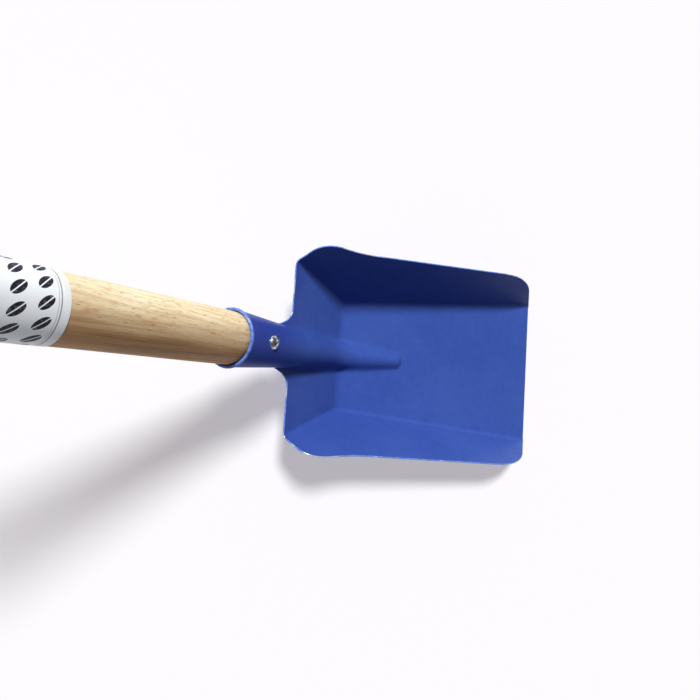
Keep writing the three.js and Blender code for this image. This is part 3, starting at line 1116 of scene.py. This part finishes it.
def bright_steel():
    """Zinc-bright metal with fine rings from the lathe, and dirt in the slot."""
    material, tree, shader = new_material("bright_zinc_steel")
    place = object_place(tree)
    split = axes(tree, place)
    reach = length(tree, stretched(tree, place, (1.0, 1.0, 0.0)))
    rings = noise(tree, wire(tree, "ShaderNodeCombineXYZ", {0: reach}), 9000.0, 2.0)
    smear = noise(tree, place, 900.0, 3.0)
    clean = remap(tree, split["Z"], DIRT_BELOW * MM, CLEAN_ABOVE * MM)
    inside = remap(tree, reach, 0.80 * HEAD_RADIUS * MM, 0.62 * HEAD_RADIUS * MM)
    grime = times(tree, minus(tree, 1.0, clean), inside)
    metal = blend(tree, remap(tree, smear, 0.3, 0.7), STEEL_BRIGHT, STEEL_DULL)
    metal = blend(tree, times(tree, grime, 0.6), metal, SLOT_DIRT)
    tree.links.new(metal, shader.inputs["Base Color"])
    shader.inputs["Metallic"].default_value = 1.0
    tree.links.new(remap(tree, smear, 0.25, 0.75, 0.20, 0.36), shader.inputs["Roughness"])
    lines = bumped(tree, rings, LATHE_DEPTH)
    dents = bumped(tree, noise(tree, place, 1500.0, 2.0), DENT_DEPTH, lines)
    tree.links.new(dents, shader.inputs["Normal"])
    return material


# -------------------------------- printed paper of the label
KERNEL_PITCH = 7.65
KERNEL_START = 4.275
KERNEL_LONG = 2.9
KERNEL_WIDE = 1.6
KERNEL_TILT = 0.75
KERNELS_ROUND = 12
KERNEL_CREASE = (0.12, 0.26)
PRINT_MARGIN = 4.5
INK_EDGE = 0.06
# Distance from the label's edge, half the width, and darkness of each ring at one end.
LABEL_RINGS = ((2.9, 0.20, 0.60), (3.7, 0.10, 0.40))
PAPER_CLEAN = colour(0.82, 0.865, 0.90)
PAPER_HANDLED = colour(0.76, 0.76, 0.73)
PAPER_FIBRE = colour(0.62, 0.60, 0.56)
INK = colour(0.022, 0.018, 0.035)
FIBRE_DEPTH = 0.008


def ink_line(tree, along, place_mm, half_mm):
    """A printed ring at a distance from the label's edge, as a mask."""
    gap = math_node(tree, "ABSOLUTE", minus(tree, along, place_mm))
    return remap(tree, gap, half_mm + INK_EDGE, half_mm - INK_EDGE)


def kernel_rows(tree, around, along):
    """Rows of grain kernels, each an oval with a pale crease, as a mask."""
    row = math_node(tree, "DIVIDE", plus(tree, along, KERNEL_START), KERNEL_PITCH)
    row_number = math_node(tree, "FLOOR", row)
    shifted = plus(tree, around, times(tree, row_number, 0.5))
    pitch_around = 2 * math.pi * GRIP_RADIUS / KERNELS_ROUND
    u = times(tree, minus(tree, math_node(tree, "FRACT", shifted), 0.5), pitch_around)
    v = times(tree, minus(tree, math_node(tree, "FRACT", row), 0.5), KERNEL_PITCH)
    lean = math.sin(KERNEL_TILT)
    hold = math.cos(KERNEL_TILT)
    long = plus(tree, times(tree, u, hold), times(tree, v, lean))
    wide = minus(tree, times(tree, v, hold), times(tree, u, lean))
    long_share = math_node(tree, "DIVIDE", long, KERNEL_LONG)
    wide_share = math_node(tree, "DIVIDE", wide, KERNEL_WIDE)
    span = length(tree, wire(tree, "ShaderNodeCombineXYZ", {0: long_share, 1: wide_share}))
    oval = remap(tree, span, 1.03, 0.97)
    crease = remap(tree, math_node(tree, "ABSOLUTE", wide), *KERNEL_CREASE)
    return times(tree, oval, crease)


def printed_paper():
    """White paper printed with rows of grain kernels and a double ring near each end."""
    material, tree, shader = new_material("printed_paper")
    place = object_place(tree)
    split = axes(tree, place)
    along = minus(tree, times(tree, split["Z"], 1.0 / MM), LABEL_START)
    turn = math_node(tree, "ARCTAN2", split["Y"], split["X"])
    around = times(tree, math_node(tree, "DIVIDE", turn, 2 * math.pi), KERNELS_ROUND)

    # from_edge is the distance to the nearer end of the label.
    from_edge = math_node(tree, "MINIMUM", along, minus(tree, LABEL_LENGTH, along))
    inside = remap(tree, from_edge, PRINT_MARGIN - 0.1, PRINT_MARGIN + 0.1)
    ink = times(tree, kernel_rows(tree, around, along), inside)
    for place_mm, half_mm, darkness in LABEL_RINGS:
        line = times(tree, ink_line(tree, from_edge, place_mm, half_mm), darkness)
        ink = larger(tree, ink, line)
    wear = noise(tree, place, 900.0, 3.0, 0.7)
    worn_ink = times(tree, ink, remap(tree, wear, 0.25, 0.5, 0.72, 1.0))

    fibres = noise(tree, place, 1600.0, 4.0, 0.7)
    handled = noise(tree, place, 70.0, 3.0)
    paper = blend(tree, remap(tree, handled, 0.45, 0.75), PAPER_CLEAN, PAPER_HANDLED)
    paper = blend(tree, remap(tree, fibres, 0.35, 0.7, 0.0, 0.12), paper, PAPER_FIBRE)
    printed = blend(tree, worn_ink, paper, INK)
    tree.links.new(printed, shader.inputs["Base Color"])
    tree.links.new(remap(tree, worn_ink, 0.0, 1.0, 0.62, 0.40), shader.inputs["Roughness"])
    shader.inputs["Specular IOR Level"].default_value = 0.3
    tree.links.new(bumped(tree, fibres, FIBRE_DEPTH), shader.inputs["Normal"])
    return material


# -------------------------------- pieces
blade = make_blade()
blade.data.materials.append(enamel())
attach(blade, "root")
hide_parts("scoop_blade")

handle = make_handle()
handle.data.materials.append(beech())
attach(handle, "root")
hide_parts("handle")

screw = make_screw()
screw.data.materials.append(bright_steel())
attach(screw, "root")
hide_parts("socket_screw")

label = make_label()
label.data.materials.append(printed_paper())
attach(label, "root")
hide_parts("handle_label")


# -------------------------------- camera, floor and light
EYE = (-109.2, -17.5, 292.7)
AIM = (7.5, 4.6, 0.0)
ROLL = math.radians(-3.86)
LENS = 24.15
SENSOR = 36.0
NEAREST = 0.01
FLOOR_HALF = 40.0
FLOOR_GAP = 0.0002
FLOOR_GREY = colour(0.44, 0.44, 0.44)
KEY_DIRECTION = (-0.17, 0.53, 0.83)
KEY_STRENGTH = 4.0
KEY_SOFTNESS = math.radians(12)
BACKDROP_GLOW = 0.95
HORIZON_GLOW = 0.38
FILL_TINT = (1.0, 0.96, 1.0)
TABLE_GLOW = 0.47
OVERHEAD_GLOW = 0.10
HORIZON_HEIGHT = 0.14
OVERHEAD_HEIGHT = 0.5
DISPLAY_GAMMA = 0.86


def make_camera():
    """A camera above the socket that looks down into the blade."""
    eye = Vector(placed(EYE))
    aim = Vector(placed(AIM))
    forward = (aim - eye).normalized()
    level_up = Vector((0.0, 1.0, 0.0))
    right = forward.cross(level_up).normalized()
    up = right.cross(forward)
    turned_up = Matrix.Rotation(ROLL, 3, forward) @ up
    turned_right = Matrix.Rotation(ROLL, 3, forward) @ right
    data = bpy.data.cameras.new("studio_camera")
    data.lens = LENS
    data.sensor_width = SENSOR
    data.clip_start = NEAREST
    camera = bpy.data.objects.new("studio_camera", data)
    columns = (turned_right, turned_up, -forward)
    rows = [[column[i] for column in columns] + [eye[i]] for i in range(3)]
    camera.matrix_world = Matrix(rows + [[0, 0, 0, 1]])
    bpy.context.scene.collection.objects.link(camera)
    bpy.context.scene.camera = camera


def make_floor():
    """A wide sheet of pale paper just under the blade, which glows a little to soften shadows."""
    level = cad_box[0].z - FLOOR_GAP
    signs = [(-1, -1), (1, -1), (1, 1), (-1, 1)]
    corners = [(x * FLOOR_HALF, y * FLOOR_HALF, level) for x, y in signs]
    mesh = bpy.data.meshes.new("studio_floor")
    mesh.from_pydata(corners, [], [(0, 1, 2, 3)])
    floor = bpy.data.objects.new("studio_floor", mesh)
    bpy.context.scene.collection.objects.link(floor)
    material, _, shader = new_material("studio_paper")
    shader.inputs["Base Color"].default_value = FLOOR_GREY
    shader.inputs["Emission Color"].default_value = colour(*FILL_TINT)
    shader.inputs["Emission Strength"].default_value = TABLE_GLOW
    shader.inputs["Roughness"].default_value = 0.9
    shader.inputs["Specular IOR Level"].default_value = 0.1
    floor.data.materials.append(material)


def make_key():
    """One large soft lamp, high and to the rear left of the blade."""
    data = bpy.data.lights.new("studio_key", "SUN")
    data.energy = KEY_STRENGTH
    data.angle = KEY_SOFTNESS
    light = bpy.data.objects.new("studio_key", data)
    light.rotation_euler = (-Vector(KEY_DIRECTION)).to_track_quat("-Z", "Y").to_euler()
    bpy.context.scene.collection.objects.link(light)


def make_surround():
    """A white backdrop at the horizon that fades to a dim room overhead."""
    world = bpy.data.worlds.new("studio_world")
    world.use_nodes = True
    nodes = world.node_tree.nodes
    links = world.node_tree.links
    direction = nodes.new("ShaderNodeTexCoord")
    split = nodes.new("ShaderNodeSeparateXYZ")
    glow = nodes.new("ShaderNodeValToRGB")
    glow.color_ramp.interpolation = "EASE"
    elements = glow.color_ramp.elements
    elements.new(HORIZON_HEIGHT)
    elements[2].position = OVERHEAD_HEIGHT
    elements[0].color = colour(BACKDROP_GLOW, BACKDROP_GLOW, BACKDROP_GLOW)
    elements[1].color = colour(*(HORIZON_GLOW * share for share in FILL_TINT))
    elements[2].color = colour(*(OVERHEAD_GLOW * share for share in FILL_TINT))
    links.new(direction.outputs["Generated"], split.inputs[0])
    links.new(split.outputs["Z"], glow.inputs["Fac"])
    links.new(glow.outputs["Color"], nodes["Background"].inputs["Color"])
    bpy.context.scene.world = world


make_camera()
make_floor()
make_key()
make_surround()
bpy.context.scene.view_settings.view_transform = "Standard"
bpy.context.scene.view_settings.gamma = DISPLAY_GAMMA
